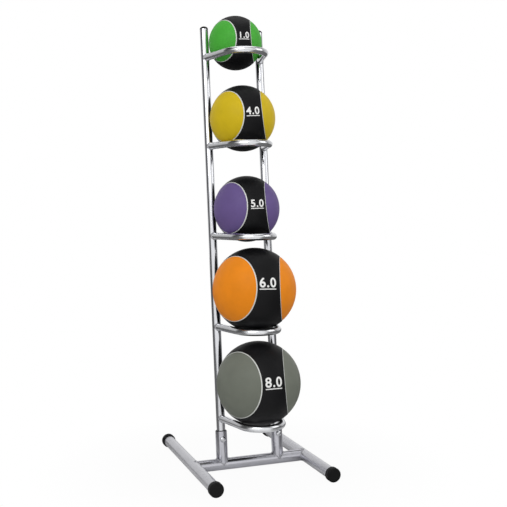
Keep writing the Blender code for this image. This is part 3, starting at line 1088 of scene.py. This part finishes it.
def make_camera():
    data = bpy.data.cameras.new("camera")
    data.sensor_width = CAMERA_SENSOR
    data.lens = CAMERA_LENS
    camera = bpy.data.objects.new("camera", data)
    bpy.context.scene.collection.objects.link(camera)
    look = (
        Matrix.Rotation(CAMERA_TURN, 4, "Z")
        @ Matrix.Rotation(math.pi / 2 + CAMERA_TIP, 4, "X")
        @ Matrix.Rotation(CAMERA_ROLL, 4, "Z")
    )
    camera.matrix_world = Matrix.Translation(CAMERA_PLACE) @ look
    bpy.context.scene.camera = camera


def along_room(nodes, links, value):
    """How far a direction or a place lies towards the room's far wall."""
    made = vector_math(nodes, links, "DOT_PRODUCT", value)
    made.inputs[1].default_value = TO_FAR_WALL
    return made.outputs["Value"]


def floor_in_reflections(nodes, links, place, away):
    """Light before the object and close around it, and dark everywhere else."""
    distance = along_room(nodes, links, place)
    before = ramp(nodes, links, distance, FLOOR_BEFORE_RANGE, FLOOR_BEFORE)
    heading = vector_math(nodes, links, "NORMALIZE", place).outputs["Vector"]
    sides = ramp(nodes, links, along_room(nodes, links, heading), NEAR_TO_FAR, FLOOR_TO_THE_SIDES)
    before = mixed(nodes, links, 1.0, before, sides, "MULTIPLY")
    close = ramp(nodes, links, away, FLOOR_AROUND_RANGE, FLOOR_AROUND)
    return mixed(nodes, links, 1.0, before, close, "LIGHTEN")


def make_floor():
    """White floor that keeps a faint shadow round the object, and is darker in reflections."""
    shape = bmesh.new()
    bmesh.ops.create_grid(shape, x_segments=1, y_segments=1, size=FLOOR_HALF)
    floor = object_from("floor", shape)
    made, nodes, links, shader = new_material("floor")
    shader.inputs["Roughness"].default_value = 0.9
    path = nodes.new("ShaderNodeLightPath")
    place = nodes.new("ShaderNodeTexCoord").outputs["Object"]
    away = vector_math(nodes, links, "LENGTH", place).outputs["Value"]
    reflected = floor_in_reflections(nodes, links, place, away)
    tone = mixed(nodes, links, path.outputs["Is Glossy Ray"], grey(FLOOR_GREY), reflected)
    links.new(tone, shader.inputs["Base Color"])
    white = map_range(nodes, links, away, FLOOR_WHITE_RANGE, FLOOR_WHITE)
    share = add_node(nodes, "ShaderNodeMath", operation="MULTIPLY")
    links.new(path.outputs["Is Camera Ray"], share.inputs[0])
    links.new(white, share.inputs[1])
    glow = add_node(nodes, "ShaderNodeEmission", Strength=1.0)
    surface = mixed_shader(
        nodes, links, share.outputs["Value"], shader.outputs["BSDF"], glow.outputs["Emission"]
    )
    links.new(surface, nodes["Material Output"].inputs["Surface"])
    floor.data.materials.append(made)


def room_in_reflections(nodes, links, direction):
    """Walls that are dark in the middle and high up at the far end, with light overhead."""
    parts = nodes.new("ShaderNodeSeparateXYZ")
    links.new(direction, parts.inputs["Vector"])
    upward = parts.outputs["Z"]
    ahead = along_room(nodes, links, direction)
    walls = ramp(nodes, links, ahead, NEAR_TO_FAR, WALLS)
    far = ramp(nodes, links, ahead, NEAR_TO_FAR, FAR_END)
    height = ramp(nodes, links, upward, LEVEL_TO_OVERHEAD, DARK_WITH_HEIGHT)
    overhead = ramp(nodes, links, upward, LEVEL_TO_OVERHEAD, OVERHEAD)
    dimming = mixed(nodes, links, far, WHITE, height)
    room = mixed(nodes, links, 1.0, walls, dimming, "MULTIPLY")
    return mixed(nodes, links, 1.0, room, overhead, "LIGHTEN")


def make_world():
    """Even light on surfaces, white behind the object, and the studio in reflections."""
    world = bpy.data.worlds.new("studio")
    bpy.context.scene.world = world
    world.use_nodes = True
    nodes = world.node_tree.nodes
    links = world.node_tree.links
    even = nodes["Background"]
    even.inputs["Color"].default_value = WHITE
    even.inputs["Strength"].default_value = EVEN_LIGHT
    white = add_node(nodes, "ShaderNodeBackground", Color=WHITE, Strength=1.0)
    direction = nodes.new("ShaderNodeTexCoord").outputs["Generated"]
    shiny = nodes.new("ShaderNodeBackground")
    links.new(room_in_reflections(nodes, links, direction), shiny.inputs["Color"])
    path = nodes.new("ShaderNodeLightPath").outputs
    light = mixed_shader(
        nodes, links, path["Is Glossy Ray"], even.outputs["Background"], shiny.outputs["Background"]
    )
    surface = mixed_shader(nodes, links, path["Is Camera Ray"], light, white.outputs["Background"])
    links.new(surface, nodes["World Output"].inputs["Surface"])


def add_lamp(name, place, aim, size, power):
    data = bpy.data.lights.new(name, "AREA")
    data.shape = "RECTANGLE"
    data.size, data.size_y = size
    data.energy = power
    lamp = bpy.data.objects.new(name, data)
    lamp.location = place
    lamp.rotation_euler = (Vector(aim) - Vector(place)).to_track_quat("-Z", "Y").to_euler()
    bpy.context.scene.collection.objects.link(lamp)


def make_studio():
    make_world()
    make_floor()
    for name, settings in LAMPS.items():
        add_lamp(name, *settings)
    bpy.context.scene.view_settings.view_transform = "Standard"


make_camera()
make_studio()
make_feet()
make_cross_tube()
make_caps()
make_sockets()
make_bushes()
make_stems()
make_bolts()
make_holders()
for tier, colour in enumerate(BALLS):
    make_ball(tier, colour)
